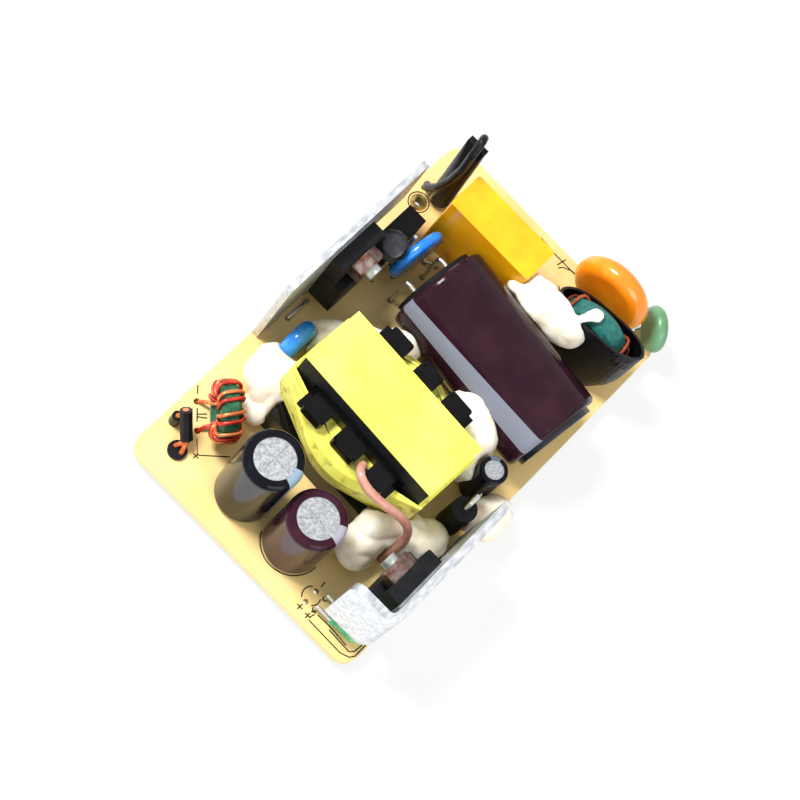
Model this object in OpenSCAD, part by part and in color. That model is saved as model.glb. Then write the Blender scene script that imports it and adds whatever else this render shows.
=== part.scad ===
// Open frame power supply: one printed circuit board carrying a flyback converter,
// two sheet heatsinks, wound parts, electrolytic capacitors and beads of white silicone.
// Millimetres. X runs across the board, Y from the output end to the mains end, Z up.
// The origin is the middle of the board's solder side.

/* [Board] */
// Width of the board
board_w = 50; // [50:0.5:56]
// Length of the board
board_l = 83; // [83:0.5:92]
// Thickness of the board
board_t = 1.6; // [1:0.1:2.4]
// Corner radius of the board
board_r = 3; // [1:0.5:4]
// Clearance round a lead in its hole
hole_gap = 0.15; // [0.05:0.05:0.25]
// Length of the cut lead tails under the board
tail = 1.5; // [1:0.1:2.5]
// Radius of a solder pad
pad_r = 1.1; // [0.9:0.05:1.25]

/* [Leads] */
// Radius of a thin lead
thin_r = 0.3; // [0.2:0.05:0.35]
// Radius of a stout lead
stout_r = 0.4; // [0.3:0.05:0.5]

/* [Heatsinks] */
// Height of both heatsinks above the board
sink_h = 22; // [20.5:0.5:26]
// Sheet thickness of the primary heatsink
primary_t = 1.2; // [1:0.1:1.5]
// Length of the primary heatsink
primary_l = 34.6; // [30:0.2:35]
// Sheet thickness of the secondary heatsink
secondary_t = 1.5; // [1:0.1:2]
// Length of the secondary heatsink
secondary_l = 28.4; // [26:0.2:29]
// Reach of the secondary heatsink's folded end
flange_w = 9.1; // [7:0.1:9.5]
// Outer radius of the fold
fold_r = 2.5; // [2.1:0.1:4]
// Height of the raised lower edges above the board
sink_lift = 6; // [5:0.5:8]
// Thickness of the insulating pads
pad_t = 0.3; // [0.2:0.05:0.5]

/* [Power semiconductors] */
// Width of a package
package_w = 10.2; // [9:0.1:10.6]
// Height of a package
package_h = 15; // [14:0.1:16]
// Thickness of a package
package_t = 4.7; // [4.3:0.1:5]
// Thickness of a package's tab
tab_t = 2.8; // [2.3:0.1:3.2]
// Height of the tab
tab_h = 6.4; // [6.2:0.1:7]
// Height of a package's underside above the board
package_lift = 3; // [2:0.5:5]
// Thread diameter of the clamp screws
screw_d = 3; // [2.5:0.1:3.2]
// Width of a clamp nut across its flats
nut_af = 5.5; // [5:0.1:6]
// Thickness of a clamp nut
nut_t = 2.4; // [2:0.1:2.6]

/* [Transformer] */
// Width of the transformer core
core_w = 29; // [29:0.5:31]
// Depth of the core
core_d = 12.2; // [11.6:0.1:12.6]
// Thickness of the core's outer limbs
limb = 4; // [3.5:0.1:4.5]
// Width of the core's centre limb
centre_limb = 7.2; // [6:0.1:8]
// Height of the winding window
window_h = 12; // [11:0.5:13]
// Height of the core's underside above the board
core_lift = 1; // [0.6:0.1:2]
// Radius of the winding
winding_r = 12; // [11.6:0.1:12.1]
// Thickness of the yellow tape
tape_t = 0.25; // [0.15:0.05:0.35]
// Wall of the bobbin
bobbin_wall = 0.7; // [0.5:0.1:1]
// Reach of the bobbin's rails from the middle of the core
rail_reach = 10.8; // [10.4:0.1:11.2]
// Length of the bobbin's upper rails
rail_l = 18.6; // [17:0.2:20]
// Length of the bobbin's pin rails
foot_l = 25; // [23:0.5:28]
// Pitch of the transformer pins
pin_pitch = 5; // [4:0.1:5]

/* [Electrolytic capacitors] */
// Diameter of the bulk capacitor
bulk_d = 18; // [16:0.5:18]
// Length of the bulk capacitor
bulk_l = 31.5; // [25:0.5:32]
// Diameter of the output capacitors
output_d = 10.3; // [8:0.1:10.6]
// Height of the taller output capacitor
output_h = 20; // [16:0.5:25]
// Height of the shorter output capacitor
filter_h = 16; // [12:0.5:20]
// Diameter of the supply capacitor
supply_d = 5; // [4:0.1:5.2]
// Height of the supply capacitor
supply_h = 11; // [7:0.5:12]
// Thickness of the shrunk sleeves
sleeve_t = 0.2; // [0.15:0.05:0.3]

/* [Other parts] */
// Length of the yellow film capacitor
film_l = 18; // [17:0.5:18.5]
// Width of the yellow film capacitor
film_w = 7.5; // [6:0.5:8]
// Height of the yellow film capacitor
film_h = 16; // [12:0.5:17]
// Diameter of the varistor
varistor_d = 14.8; // [12:0.2:15]
// Diameter of the blue disc capacitor
disc_d = 11; // [9:0.2:11]
// Outer diameter of the common mode choke's core
cm_core_d = 13.6; // [13:0.2:13.8]
// Wire diameter of the common mode choke
cm_wire_d = 0.75; // [0.6:0.05:0.8]
// Outer diameter of the output choke's core
choke_core_d = 9.4; // [8.6:0.1:9.6]
// Wire diameter of the output choke
choke_wire_d = 0.65; // [0.6:0.05:0.75]
// Diameter of the fuse in its sleeve
fuse_d = 4; // [3.6:0.1:4.2]
// Height of the fuse in its sleeve
fuse_h = 19; // [16:0.5:20]
// Diameter of the indicator lamp
led_d = 3; // [2.6:0.1:3.2]

/* [Hidden] */
$fn = 48;
eps = 0.01;

top = board_t;                       // component side of the board
half_w = board_w/2;
half_l = board_l/2;

// Places of the parts on the board
transformer_at = [0, -12.3];
transformer_turn = -3;
bulk_turn = -7;
bulk_base = [-9.43, 13.87];             // its bung end; it lies from here towards +X
bulk_at = placed(bulk_base, bulk_turn, [bulk_l/2, 0]);
bulk_gap = 0.3;                      // between the board and the bulk capacitor
bulk_lead_pitch = 7.5;
bulk_lead_reach = 2.4;               // from the bung to the bend of the leads
output_at = [-6.7, -32.9];
filter_at = [4.6, -33.1];
supply_at = [19.1, -3];
bulk_reach = bulk_base.y + bulk_d/2*cos(bulk_turn);
film_at = [-8.3, bulk_reach + 0.2 + film_w/2];     // close behind the bulk capacitor
varistor_at = [12.2, half_l - 3.9];
safety_at = [22, half_l - 0.9];
disc_at = [-15.4, 16.4];
thermistor_at = [-18.9, 12.1];
bypass_at = [-18.6, -9.4];
bridge_at = [-20.1, 15.6];
diode_at = [20.2, -11];
cm_at = [14.6, half_l - 12.8];
choke_at = [-18, -27.6];
choke_turn = -45;
fuse_at = [-20, 30.6];
eyelet_at = [-half_w + 3, 27.6];
led_at = [17.7, -36.9];
spare_led_at = [12.8, -37];
ground_at = [-22.9, -32.8];
positive_at = [-19.1, -36];
transistor_y = 4.3;
rectifier_y = -29.2;

// Sheet metal planes
primary_x = -half_w;                 // outer face of the primary heatsink
primary_near = -12;                  // its end towards the outputs
secondary_x = half_w - 0.2;          // outer face of the secondary heatsink
secondary_near = -39.3;              // outer face of its folded end
notch_gap = 0.1;
tab_w = 3;                           // width of the heatsinks' solder tabs
primary_tabs = [-8, 12];
secondary_tabs = [-30, -16];
screw_up = package_lift + package_h - 2.9;

function turned(p, a) = [p.x*cos(a) - p.y*sin(a), p.x*sin(a) + p.y*cos(a)];
function placed(at, a, p) = at + turned(p, a);
function pair(at, a, pitch) = [for (s = [-1, 1]) placed(at, a, [s*pitch/2, 0])];

// Wound cores as [inner radius, outer radius, length]; gaps run from the core to the wire's middle
cm_core = [4, cm_core_d/2, 4.4];
cm_gap = cm_wire_d/2 + 0.05;
cm_turns = 6;
cm_angles = [-65, 55];
cm_mid = cm_core_d/2 + 2*cm_gap + 0.6;    // height of the core's axis above the board
choke_core = [2.6, choke_core_d/2, 3.4];
choke_gap = choke_wire_d/2 + 0.05;
choke_turns = 7;
choke_angles = [-82, 223];
choke_mid = 6.2;

// Point k of a winding, eight to a turn, at an angle round a core whose axis is Y
loop_steps = [[1, -0.7], [1, 0.7], [0.7, 1], [-0.7, 1], [-1, 0.7], [-1, -0.7], [-0.7, -1], [0.7, -1]];
function wound(angle, k, core, gap) =
  let (s = loop_steps[k%8],
    r = (core[0] + core[1])/2 + s[0]*((core[1] - core[0])/2 + gap),
    y = s[1]*(core[2]/2 + gap))
  [r*cos(angle), y, r*sin(angle)];

// Where leads pass through the board
transistor_pins = [for (i = [-1:1]) [primary_x + primary_t + pad_t + package_t/2 + 0.4,
  transistor_y + 2.54*i]];
rectifier_pins = [for (i = [-1:1]) [secondary_x - secondary_t - pad_t - package_t/2 - 0.4,
  rectifier_y + 2.54*i]];
bridge_l = 10.6;
bridge_w = 3.8;
bridge_h = 8.6;
bridge_pins = [for (i = [0:3]) bridge_at + [0, (i - 1.5)*2.54]];
pin_row = rail_reach - 1.6;
transformer_pin_spots = [for (s = [-1, 1], i = [-2:2])
  placed(transformer_at, transformer_turn, [i*pin_pitch, s*pin_row])];
bulk_end = -bulk_l/2 - 0.8;          // outer face of the bulk capacitor's bung
bulk_pins = [for (s = [-1, 1])
  placed(bulk_at, bulk_turn, [bulk_end - bulk_lead_reach, s*bulk_lead_pitch/2])];
output_pins = pair(output_at, 40, 5);
filter_pins = pair(filter_at, 40, 5);
supply_pins = pair(supply_at, 90, 2);
film_pins = pair(film_at, 0, 15);
varistor_pins = pair(varistor_at, 0, 7.5);
safety_pins = [[19.6, half_l - 1.7], [23.1, half_l - 4.2]];
disc_pins = pair(disc_at, 83, 5);
thermistor_pins = [[-17.75, 10.6], [-17.3, 15.4]];
bypass_pins = pair(bypass_at, 90, 5);
diode_pins = [diode_at, diode_at + [0, 3.6]];
cm_return = [1.3, 2.65];              // where a choke's second lead leaves its core's bore
cm_start = wound(cm_angles[0], 0, cm_core, cm_gap);
cm_pins = [for (s = [-1, 1]) each [cm_at + [s*cm_start.x, cm_start.y],
  cm_at + [s*cm_return.x, cm_return.y]]];
choke_feet = [[1.6, -3.3], [1.6, 3.3], [-3.7, 3.5], [-3.4, -3.3]];
choke_pins = [for (p = choke_feet) placed(choke_at, choke_turn, p)];
lead_foot = [16.6, -23.8];
fuse_pins = [fuse_at, [-23.2, 30.4]];
led_pins = [for (s = [-1, 1]) [led_at.x - 3, led_at.y + s*1.27]];
spare_led_pins = [for (s = [-1, 1]) spare_led_at + [0, s*1.27]];
twin_spots = [positive_at + [-0.75, 0.2], positive_at + [0.75, 0]];  // two strands side by side
twin_pad_r = 0.72;

jumpers = [[[-13.8, 20.1], [-11.8, 21.2]], [[-22.6, -5.5], [-22.6, -0.9]]];

thin_spots = concat(transistor_pins, rectifier_pins, output_pins, filter_pins, supply_pins,
  film_pins, disc_pins, thermistor_pins, bypass_pins, safety_pins, led_pins, jumpers[0], jumpers[1]);
stout_spots = concat(bridge_pins, transformer_pin_spots, bulk_pins, varistor_pins, diode_pins,
  cm_pins, choke_pins, fuse_pins, [ground_at, lead_foot]);
spare_hole_r = 0.5;
eyelet_hole_r = 0.8;
eyelet_r = 1.1;

// ---------------------------------------------------------------- shared forms

// Round bar between two points
module bar(a, b, r) {
  d = b - a;
  translate(a) rotate([0, acos(d.z/norm(d)), atan2(d.y, d.x)]) cylinder(h = norm(d), r = r);
}

// Bent wire through a list of points
module bent_wire(points, r) {
  for (i = [1:len(points) - 1]) bar(points[i - 1], points[i], r);
  for (i = [1:len(points) - 2]) translate(points[i]) sphere(r);
}

// Straight lead from its tail below the board up to a height above the board
module straight_lead(at, r, up) {
  translate([at.x, at.y, -tail]) cylinder(h = tail + top + up, r = r);
}

// A point on the board's component side, raised by z
function above(p, z) = [p.x, p.y, top + z];
function below(p) = [p.x, p.y, -tail];

// Tube of round section swept along a path; refs give each ring's sideways direction
function unit(v) = v/norm(v);
function heading(p, i) = unit(p[min(i + 1, len(p) - 1)] - p[max(i - 1, 0)]);
function ring(p, t, ref, r, n) =
  let (u = unit(ref - (ref*t)*t), v = cross(t, u))
  [for (k = [0:n - 1]) p + r*(cos(360*k/n)*u + sin(360*k/n)*v)];
module sweep(path, refs, r, n) {
  m = len(path);
  points = [for (i = [0:m - 1]) each ring(path[i], heading(path, i), refs[i], r, n)];
  walls = [for (i = [0:m - 2], k = [0:n - 1]) let (a = i*n + k, b = i*n + (k + 1)%n)
    each [[a, b + n, b], [a, a + n, b + n]]];
  start = [for (k = [0:n - 1]) k];
  end = [for (k = [n - 1:-1:0]) (m - 1)*n + k];
  polyhedron(points, concat([start], walls, [end]), convexity = 10);
}

// Hollow tube swept the same way
module tube_sweep(path, refs, r_out, r_in, n) {
  m = len(path);
  s = m*n;                           // index of the first inner point
  e = s - n;                         // index of the last ring's first point
  points = concat([for (i = [0:m - 1]) each ring(path[i], heading(path, i), refs[i], r_out, n)],
    [for (i = [0:m - 1]) each ring(path[i], heading(path, i), refs[i], r_in, n)]);
  walls = [for (i = [0:m - 2], k = [0:n - 1]) let (a = i*n + k, b = i*n + (k + 1)%n)
    each [[a, b + n, b], [a, a + n, b + n], [s + a, s + b, s + b + n], [s + a, s + b + n, s + a + n]]];
  ends = [for (k = [0:n - 1]) let (j = (k + 1)%n)
    each [[k, j, s + j], [k, s + j, s + k], [e + k, e + s + j, e + j], [e + k, e + s + k, e + s + j]]];
  polyhedron(points, concat(walls, ends), convexity = 10);
}

// The same path with its corners cut short by b
function softened(p, b) = concat([p[0]],
  [for (i = [1:len(p) - 2]) let (u = unit(p[i] - p[i - 1]), v = unit(p[i + 1] - p[i]))
    each [p[i] - b*u, p[i] + 0.29*b*(v - u), p[i] + b*v]],
  [p[len(p) - 1]]);
module soft_wire(points, b, ref, r) {
  path = softened(points, b);
  sweep(path, [for (p = path) ref], r, 8);
}

// Sleeved can standing on the board: sleeve with rolled lips, can and rubber bung. The lip is how
// far the sleeve runs over the can's end, and its edge is rolled to the same radius
function quarter(x, z, r, a) = [for (i = [0:4]) [x + r*cos(a + 22.5*i), z + r*sin(a + 22.5*i)]];
module sleeve_shell(d, h, lip) {
  r = d/2;
  t = sleeve_t;
  q = lip*0.75;
  rotate_extrude() polygon(concat([[r - t - lip, 0]], quarter(r - q, q, q, -90),
    quarter(r - q, h - q, q, 0), [[r - t - lip, h], [r - t - lip, h - t]],
    [for (i = [4:-1:0]) quarter(r - q, h - q, q - t, 0)[i]],
    [for (i = [4:-1:0]) quarter(r - q, q, q - t, -90)[i]], [[r - t - lip, t]]));
}
module can_body(d, h, lip, bung) {
  r = d/2;
  t = sleeve_t;
  q = lip*0.75;
  rotate_extrude() polygon(concat([[0, bung], [r - t, bung]], quarter(r - q, h - q, q - t, 0),
    [[0, h - t]]));
}
module bung_body(d, lip, bung) {
  r = d/2;
  t = sleeve_t;
  q = lip*0.75;
  rotate_extrude() polygon(concat([[0, 0], [r - t - lip, 0], [r - t - lip, t]],
    quarter(r - q, q, q - t, -90), [[r - t, bung], [0, bung]]));
}
// Cutter for a vent scored into a can's end, as arms from its middle
module vent_score(r, z, arms) {
  score_w = 0.28;
  score_deep = 0.15;
  translate([0, 0, z - score_deep]) linear_extrude(1)
    for (a = arms) rotate(a) translate([-score_w/2, -score_w/2]) square([r, score_w]);
}
wide_lip = 1.4;
small_lip = 0.6;
bung_t = 2;
module standing_bung(at, d, lip, pins) {
  difference() {
    translate(above(at, 0)) bung_body(d, lip, bung_t);
    for (p = pins) translate(above(p, -eps)) cylinder(h = bung_t - 0.5 + eps, r = thin_r);
  }
}

// Coated disc on edge, its plane holding X and Z
module coated_disc(d, t) {
  rotate([90, 0, 0]) rotate_extrude() {
    translate([0, -t/2]) square([d/2 - t/2, t]);
    translate([d/2 - t/2, 0]) circle(t/2);
  }
}

// The same on two legs, its coating running a little way down each, with its lead holes
module legged_disc(d, t, lift, pitch, r) {
  difference() {
    union() {
      translate([0, 0, lift + d/2]) coated_disc(d, t);
      for (s = [-1, 1]) translate([s*pitch/2, 0, lift - 0.4]) cylinder(h = d/3, r1 = r + 0.2, r2 = r + 0.6);
    }
    for (s = [-1, 1]) translate([s*pitch/2, 0, -1]) cylinder(h = lift + d/4 + 1, r = r);
  }
}

// ---------------------------------------------------------------- board

module board_outline(grow) {
  translate([-half_w - grow, -half_l - grow]) {
    w = board_w + 2*grow;
    l = board_l + 2*grow;
    r = board_r;
    translate([r, 0]) square([w - 2*r, l]);
    translate([0, r]) square([w, l - 2*r]);
    for (x = [r, w - r], y = [r, l - r]) translate([x, y]) circle(r);
  }
}

module circuit_board() {
  color("#E9CE86") difference() {
    linear_extrude(board_t) board_outline(0);
    for (p = thin_spots) translate([p.x, p.y, -1]) cylinder(h = board_t + 2, r = thin_r + hole_gap);
    for (p = concat(stout_spots, twin_spots)) translate([p.x, p.y, -1])
      cylinder(h = board_t + 2, r = stout_r + hole_gap);
    for (p = spare_led_pins) translate([p.x, p.y, -1]) cylinder(h = board_t + 2, r = spare_hole_r);
    translate([eyelet_at.x, eyelet_at.y, -1]) cylinder(h = board_t + 2, r = eyelet_r);
    for (y = primary_tabs) translate([primary_x - 1, y - tab_w/2 - notch_gap, -1])
      cube([primary_t + 1 + notch_gap, tab_w + 2*notch_gap, board_t + 2]);
    for (y = secondary_tabs)
      translate([secondary_x - secondary_t - notch_gap, y - tab_w/2 - notch_gap, -1])
        cube([secondary_t + 2, tab_w + 2*notch_gap, board_t + 2]);
  }
}

// Solder fillet round one lead tail, drawn up to a point over its end
module solder_fillet(r, pad) {
  low = tail + 0.3;
  rotate_extrude($fn = 24) polygon([[0, -low], [r + 0.1, 0.1 - low], [r + 0.2, -0.4*low],
    [pad, -0.15], [pad, 0], [r, 0], [r, -tail], [0, -tail]]);
}

module solder_joints() {
  color("#C9CCD0") {
    for (p = thin_spots) translate([p.x, p.y, 0]) solder_fillet(thin_r, pad_r);
    for (p = stout_spots) translate([p.x, p.y, 0]) solder_fillet(stout_r, pad_r);
    for (p = twin_spots) translate([p.x, p.y, 0]) solder_fillet(stout_r, twin_pad_r);
  }
}

module mains_eyelet() {
  color("#B9A46A") translate([eyelet_at.x, eyelet_at.y, 0]) difference() {
    union() {
      cylinder(h = board_t, r = eyelet_r);
      translate([0, 0, board_t]) cylinder(h = 0.3, r1 = eyelet_r + 0.5, r2 = eyelet_r + 0.3);
      translate([0, 0, -0.3]) cylinder(h = 0.3, r1 = eyelet_r + 0.3, r2 = eyelet_r + 0.5);
    }
    translate([0, 0, -1]) cylinder(h = board_t + 2, r = eyelet_hole_r);
  }
}

// ---------------------------------------------------------------- heatsinks

corner_r = 2;

// Cutter for a rounded upper corner of a sheet that runs along +Y from the origin
module corner_cut(t) {
  translate([-1, 0, 0]) difference() {
    translate([0, -1, -corner_r]) cube([t + 2, corner_r + 1, corner_r + 1]);
    translate([-1, corner_r, -corner_r]) rotate([0, 90, 0]) cylinder(h = t + 4, r = corner_r);
  }
}

// Countersunk clearance hole through a sheet, from its outer face at x = 0 towards +X
module countersink(t) {
  translate([-eps, 0, 0]) rotate([0, 90, 0]) {
    cylinder(h = t + 2*eps, r1 = screw_d, r2 = screw_d/2 + 0.1);
    cylinder(h = t + 1, r = screw_d/2 + 0.1);
  }
}

module primary_heatsink() {
  far = primary_near + primary_l;
  foot_far = primary_tabs[1] + tab_w/2 + 2;
  color("#D9DBDD") difference() {
    union() {
      translate([primary_x, primary_near, top]) cube([primary_t, primary_l, sink_h]);
      for (y = primary_tabs) translate([primary_x, y - tab_w/2, -0.6])
        cube([primary_t, tab_w, board_t + 0.6]);
    }
    translate([primary_x - 1, foot_far, top - 1]) cube([primary_t + 2, far, sink_lift + 1]);
    translate([primary_x, primary_near, top + sink_h]) corner_cut(primary_t);
    translate([primary_x, far, top + sink_h]) mirror([0, 1, 0]) corner_cut(primary_t);
    translate([primary_x, transistor_y, top + screw_up]) countersink(primary_t);
  }
}

module secondary_heatsink() {
  far = secondary_near + secondary_l;
  inner_r = fold_r - secondary_t;
  foot_near = secondary_tabs[0] - tab_w/2 - 2;
  color("#DEE0E2") difference() {
    union() {
      translate([secondary_x, 0, top]) linear_extrude(sink_h) {
        translate([-secondary_t, secondary_near + fold_r])
          square([secondary_t, secondary_l - fold_r]);
        translate([-flange_w, secondary_near]) square([flange_w - fold_r, secondary_t]);
        translate([-fold_r, secondary_near + fold_r]) intersection() {
          difference() {
            circle(fold_r);
            circle(inner_r);
          }
          translate([0, -fold_r]) square(fold_r);
        }
      }
      for (y = secondary_tabs) translate([secondary_x - secondary_t, y - tab_w/2, -0.6])
        cube([secondary_t, tab_w, board_t + 0.6]);
    }
    translate([secondary_x - flange_w - 1, secondary_near - 1, top - 1])
      cube([flange_w + 2, foot_near - secondary_near + 1, sink_lift + 1]);
    translate([secondary_x - flange_w, secondary_near + secondary_t, top + sink_h])
      rotate([0, 0, -90]) corner_cut(secondary_t);
    translate([secondary_x, rectifier_y, top + screw_up]) mirror([1, 0, 0]) countersink(secondary_t);
  }
}

// ---------------------------------------------------------------- power semiconductors

// Places a power package and what clamps it: +X points from the sheet into the board
module at_transistor() {
  translate([primary_x + primary_t, transistor_y, top]) children();
}
module at_rectifier() {
  translate([secondary_x - secondary_t, rectifier_y, top]) mirror([1, 0, 0]) children();
}

module thermal_pad() {
  translate([0, -package_w/2 - 0.8, package_lift - 1]) difference() {
    cube([pad_t, package_w + 1.6, package_h + 2]);
    translate([-1, package_w/2 + 0.8, screw_up - package_lift + 1]) rotate([0, 90, 0])
      cylinder(h = pad_t + 2, r = screw_d/2 + 0.1);
  }
}

module thermal_pads() {
  color("#8C8F93") {
    at_transistor() thermal_pad();
    at_rectifier() thermal_pad();
  }
}

// Fully moulded package with a stepped tab, a screw hole and side notches
module package() {
  body_h = package_h - tab_h;
  ramp = package_t - tab_t;
  difference() {
    translate([pad_t, package_w/2, package_lift]) rotate([90, 0, 0]) linear_extrude(package_w)
      polygon([[0.4, 0], [package_t, 0], [package_t, body_h - ramp/2], [package_t - 0.3, body_h],
        [tab_t, body_h], [tab_t, package_h - 0.3], [tab_t - 0.3, package_h], [0, package_h], [0, 0.6]]);
    translate([0, 0, screw_up]) rotate([0, 90, 0])
      cylinder(h = package_t + 1, r = screw_d/2 + 0.1);
    for (s = [-1, 1]) translate([-1, s*package_w/2, screw_up - 2.6])
      rotate([0, 90, 0]) cylinder(h = package_t + 2, r = 0.7);
    for (i = [-1:1]) translate([package_t/2 + 0.4 + pad_t, 2.54*i, package_lift - 1])
      cylinder(h = 2.5, r = thin_r);
  }
}

module power_transistor() color("#1D1E21") at_transistor() package();
module output_rectifier() color("#1F2024") at_rectifier() package();

module semiconductor_leads() {
  color("#C8CBCF") {
    for (p = concat(transistor_pins, rectifier_pins)) straight_lead(p, thin_r, package_lift + 1.5);
    for (p = bridge_pins) straight_lead(p, stout_r, 1.8);
    straight_lead(diode_at, stout_r, 0.8);
    bent_wire([below(diode_pins[1]), above(diode_pins[1], 9.8), above(diode_pins[1] - [0, 1], 10.8),
      above(diode_at + [0, 0.8], 10.8), above(diode_at, 10), above(diode_at, 9.2)], stout_r);
  }
}

// Screw set flush in the sheet, through the tab and the nut
module clamp_screw(t) {
  translate([-t, 0, screw_up]) rotate([0, 90, 0]) difference() {
    union() {
      cylinder(h = t - 0.1, r1 = screw_d - 0.1, r2 = screw_d/2);
      cylinder(h = t + pad_t + tab_t + nut_t + 1.2, r = screw_d/2);
    }
    translate([0, 0, -eps]) for (a = [0, 90]) rotate(a) translate([-1.6, -0.3, 0]) cube([3.2, 0.6, 0.6]);
  }
}

module clamp_screws() {
  color("#B9BCC0") {
    at_transistor() clamp_screw(primary_t);
    at_rectifier() clamp_screw(secondary_t);
  }
}

module clamp_nut() {
  translate([pad_t + tab_t, 0, screw_up]) rotate([0, 90, 0]) difference() {
    intersection() {
      cylinder(h = nut_t, r = nut_af/sqrt(3), $fn = 6);
      translate([0, 0, -0.5]) cylinder(h = nut_t + 0.5, r1 = nut_af/2 + 2, r2 = nut_af/2 + 0.1);
    }
    translate([0, 0, -1]) cylinder(h = nut_t + 2, r = screw_d/2);
  }
}

module clamp_nuts() {
  color("#B98A6C") {
    at_transistor() clamp_nut();
    at_rectifier() clamp_nut();
  }
}

// ---------------------------------------------------------------- transformer

core_h = 2*limb + window_h;
window_low = core_lift + limb;
window_top = window_low + window_h;
window_x = core_w/2 - limb;          // inner face of an outer limb
tube_gap = 0.2;                      // between the centre limb and the bobbin
tube_x = centre_limb/2 + tube_gap + bobbin_wall;
tube_y = core_d/2 + tube_gap + bobbin_wall;
flange_t = 1;
flange_x = window_x - tube_gap;
rail_gap = 0.3;                      // between the core's face and the rails
rail_top = window_top + 1.2;
rail_low = window_top - flange_t;
band_low = window_low + flange_t + 0.2;
band_top = rail_low - 0.2;

module at_transformer() {
  translate([transformer_at.x, transformer_at.y, top]) rotate([0, 0, transformer_turn]) children();
}

// One E shaped ferrite half, its limbs upwards from z = 0
module core_half() {
  h = core_h/2;
  translate([0, core_d/2, 0]) rotate([90, 0, 0]) linear_extrude(core_d) difference() {
    translate([-core_w/2, 0]) square([core_w, h]);
    for (s = [-1, 1]) translate([s*(window_x + centre_limb/2)/2 - (window_x - centre_limb/2)/2, limb])
      square([window_x - centre_limb/2, h]);
  }
}

module transformer_core_lower() {
  color("#3A3B3E") at_transformer() translate([0, 0, core_lift]) core_half();
}
module transformer_core_upper() {
  color("#3F4043") at_transformer() translate([0, 0, core_lift + core_h]) mirror([0, 0, 1]) core_half();
}

module transformer_core_tape() {
  color("#FBF37A") at_transformer() difference() {
    translate([-core_w/2 - tape_t, -core_d/2, core_lift - tape_t])
      cube([core_w + 2*tape_t, core_d, core_h + 2*tape_t]);
    translate([-core_w/2, -core_d/2 - 1, core_lift]) cube([core_w, core_d + 2, core_h]);
  }
}

// Upper rail of one side, in blocks with rounded corners and wire slots between them
rail_depth = rail_reach - core_d/2 - rail_gap;
block_r = 0.6;
slot_root = 1.1;                     // wall left between a slot and the core
module rail_block(a, b) {
  square_part = [b - a, rail_depth - block_r];
  translate([a, 0]) square(square_part);
  translate([a + block_r, 0]) square([b - a - 2*block_r, rail_depth]);
  for (x = [a + block_r, b - block_r]) translate([x, rail_depth - block_r]) circle(block_r);
}
module upper_rail(slots) {
  ends = concat([-rail_l/2], [for (s = slots) each [s[0] - s[1]/2, s[0] + s[1]/2]], [rail_l/2]);
  translate([0, core_d/2 + rail_gap, rail_low]) {
    linear_extrude(rail_top - rail_low) {
      translate([-rail_l/2, 0]) square([rail_l, slot_root]);
      for (i = [0:2:len(ends) - 2]) rail_block(ends[i], ends[i + 1]);
    }
    for (s = slots) for (e = [-1, 1]) translate([s[0] + e*(s[1]/2 + 0.5), rail_depth - 0.6, 0])
      cylinder(h = rail_top - rail_low + 0.25, r = 0.3);
  }
}

// Slots as [place along the rail, width], in order along it
near_slots = [[-3.95, 2.3], [3.6, 2.5]];
far_slots = [[-3.4, 2.6], [3.5, 2.1]];

module transformer_bobbin() {
  color("#17181B") at_transformer() difference() {
    union() {
      translate([-tube_x, -tube_y, window_low]) cube([2*tube_x, 2*tube_y, window_h]);
      translate([-flange_x, -rail_reach, window_low]) cube([2*flange_x, 2*rail_reach, flange_t]);
      translate([-flange_x, -rail_reach + 0.4, window_top - flange_t])
        cube([2*flange_x, 2*rail_reach - 0.8, flange_t]);
      upper_rail(far_slots);
      rotate(180) upper_rail(near_slots);
      for (s = [-1, 1]) translate([-foot_l/2, s*(core_d/2 + rail_gap + rail_depth/2) - rail_depth/2, 0])
        cube([foot_l, rail_depth, window_low + flange_t]);
    }
    translate([-tube_x + bobbin_wall, -tube_y + bobbin_wall, 0])
      cube([2*(tube_x - bobbin_wall), 2*(tube_y - bobbin_wall), 40]);
    for (s = [-1, 1], i = [-2:2]) translate([i*pin_pitch, s*pin_row, -1]) cylinder(h = 4, r = stout_r);
    for (a = [0, 180]) rotate(a) for (s = a == 0 ? far_slots : near_slots)
      translate([s[0] - s[1]/2, core_d/2 + rail_gap + slot_root, rail_low - 1]) cube([s[1], 9, 3]);
    translate([-foot_l/2 - 1, -core_d/2 - rail_gap, -1])
      cube([foot_l + 2, core_d + 2*rail_gap, window_low + 1]);
  }
}

// The winding and the tape round it swell at mid height, as [share of height, growth in radius]
swell = [[0, -1.1], [0.2, -0.4], [0.4, 0.15], [0.6, 0.15], [0.82, -0.6], [1, -1.9]];
band_h = band_top - band_low;
lid_t = 0.2;                         // tape over the winding's upper end

module transformer_winding() {
  lid_gap = 0.05;
  low = band_low - 0.1;
  color("#C98B4A") at_transformer() difference() {
    intersection() {
      rotate_extrude() polygon(concat([[0, low], [winding_r + swell[0][1] - 0.3, low]],
        [for (w = swell) if (w[0] > 0 && w[0] < 1)
          [winding_r + w[1] - 0.3, band_low + w[0]*band_h]],
        [[winding_r + swell[5][1] - 0.3, band_top - lid_t - lid_gap], [0, band_top - lid_t - lid_gap]]));
      translate([-flange_x, -20, 0]) cube([2*flange_x, 40, 40]);
    }
    translate([-tube_x - 0.05, -tube_y - 0.05, 0]) cube([2*tube_x + 0.1, 2*tube_y + 0.1, 40]);
  }
}

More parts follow.
